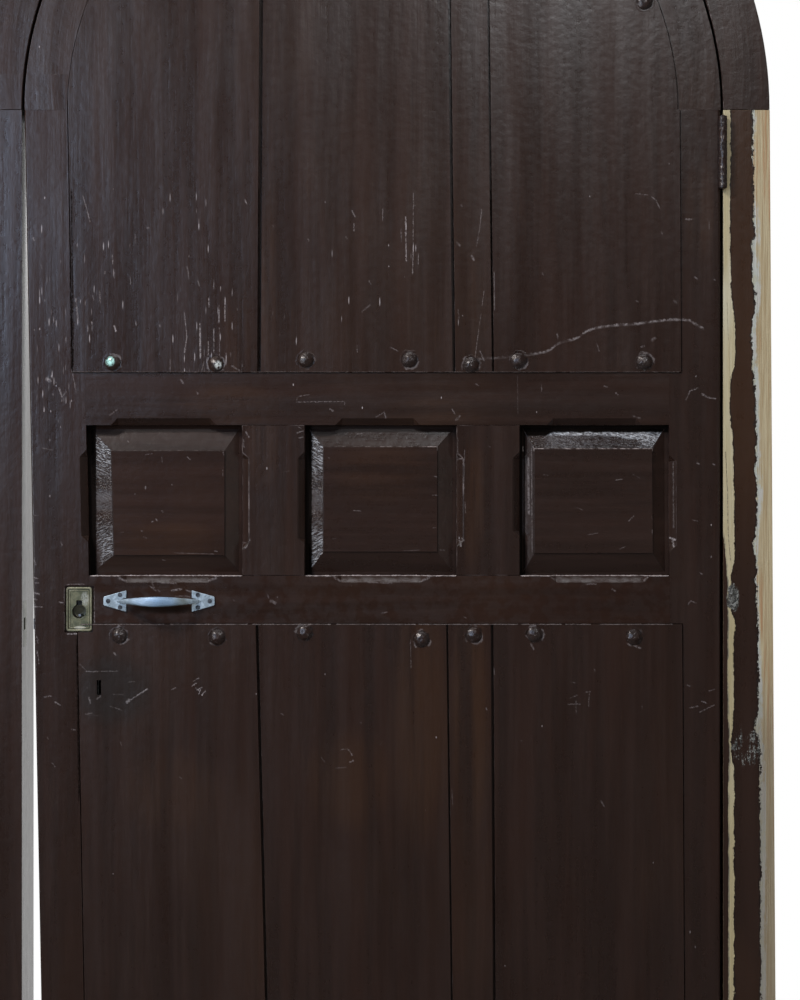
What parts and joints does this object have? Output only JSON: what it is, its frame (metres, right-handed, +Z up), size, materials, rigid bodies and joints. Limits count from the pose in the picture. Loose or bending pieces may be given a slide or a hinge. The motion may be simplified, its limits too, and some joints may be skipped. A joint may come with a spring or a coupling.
{
  "type": "arched wooden door",
  "caption": "Old round-headed framed door in its frame, with boards above and below a row of raised panels, domed studs, a brass lock plate and a pull handle.",
  "frame": {"origin": "middle of the frame's foot: half way across the doorway and half way through the frame", "axes": "+Z up; +X to the hinge side as seen from the front; -Y towards the viewer, the side with the pull handle, into which the leaf opens"},
  "size_m": [1.123, 0.1305, 2.256],
  "materials": {
    "painted_leaf": "old dark brown gloss paint over wood, worn and scratched",
    "painted_panels": "old dark brown gloss paint, crackled on the bevels",
    "painted_boards": "old dark brown gloss paint over boards, grain showing through",
    "painted_frame": "old dark brown paint, chipped down to bare wood along the edges",
    "bare_wood": "bare softwood",
    "iron": "iron under old brown paint",
    "brass": "dull old brass",
    "lock_steel": "grey steel, lightly oxidised",
    "aluminium": "satin aluminium with worn bronze tint at one end",
    "screw_steel": "dark steel screws"
  },
  "bodies": {
    "frame": {"lock_jamb": "painted_frame", "hinge_jamb": "painted_frame", "frame_head_left": "painted_frame", "frame_head_right": "painted_frame", "threshold": "painted_frame", "frame_crown_key": "bare_wood", "strike_plate": "brass", "strike_screws": "brass", "upper_hinge_frame_plate": "iron", "lower_hinge_frame_plate": "iron", "hinge_frame_screws": "iron", "upper_hinge_pin": "iron", "lower_hinge_pin": "iron"},
    "leaf": {"lock_stile": "painted_leaf", "hinge_stile": "painted_leaf", "head_rail_left": "painted_leaf", "head_rail_right": "painted_leaf", "upper_mid_rail": "painted_leaf", "lower_mid_rail": "painted_leaf", "bottom_rail": "painted_leaf", "muntin_left": "painted_leaf", "muntin_right": "painted_leaf", "panel_left": "painted_panels", "panel_middle": "painted_panels", "panel_right": "painted_panels", "upper_board_1": "painted_boards", "upper_board_2": "painted_boards", "upper_board_3": "painted_boards", "upper_board_4": "painted_boards", "lower_board_1": "painted_boards", "lower_board_2": "painted_boards", "lower_board_3": "painted_boards", "lower_board_4": "painted_boards", "board_studs": "iron", "stud_roves": "iron", "upper_hinge_leaf_plate": "iron", "lower_hinge_leaf_plate": "iron", "hinge_leaf_screws": "iron", "lock_plate": "brass", "lock_forend": "brass", "lock_plate_screws": "brass", "forend_screws": "brass", "lock_case": "lock_steel", "lock_cover": "lock_steel", "cover_screws": "lock_steel", "lever_pivot_pin": "lock_steel", "lever_stop_pin": "lock_steel", "key_pin": "lock_steel", "pull_handle": "aluminium", "handle_screws": "screw_steel"},
    "bolt": {"lock_bolt": "lock_steel"},
    "lever": {"lock_lever": "lock_steel"}
  },
  "joints": [
    {"name": "leaf_hinge", "type": "hinge", "parent": "frame", "child": "leaf", "pos_m": [0.48925, -0.055, 0], "axis": [0, 0, 1], "range_deg": [0, 110]},
    {"name": "bolt_throw", "type": "slide", "parent": "leaf", "child": "bolt", "axis": [-1, 0, 0], "range_m": [0, 0.024]},
    {"name": "lever_lift", "type": "hinge", "parent": "leaf", "child": "lever", "pos_m": [-0.45233, -0.0287, 1.018], "axis": [0, -1, 0], "range_deg": [0, 5], "stiffness_Nm_per_rad": 0.02, "springref_deg": -17.19}
  ]
}
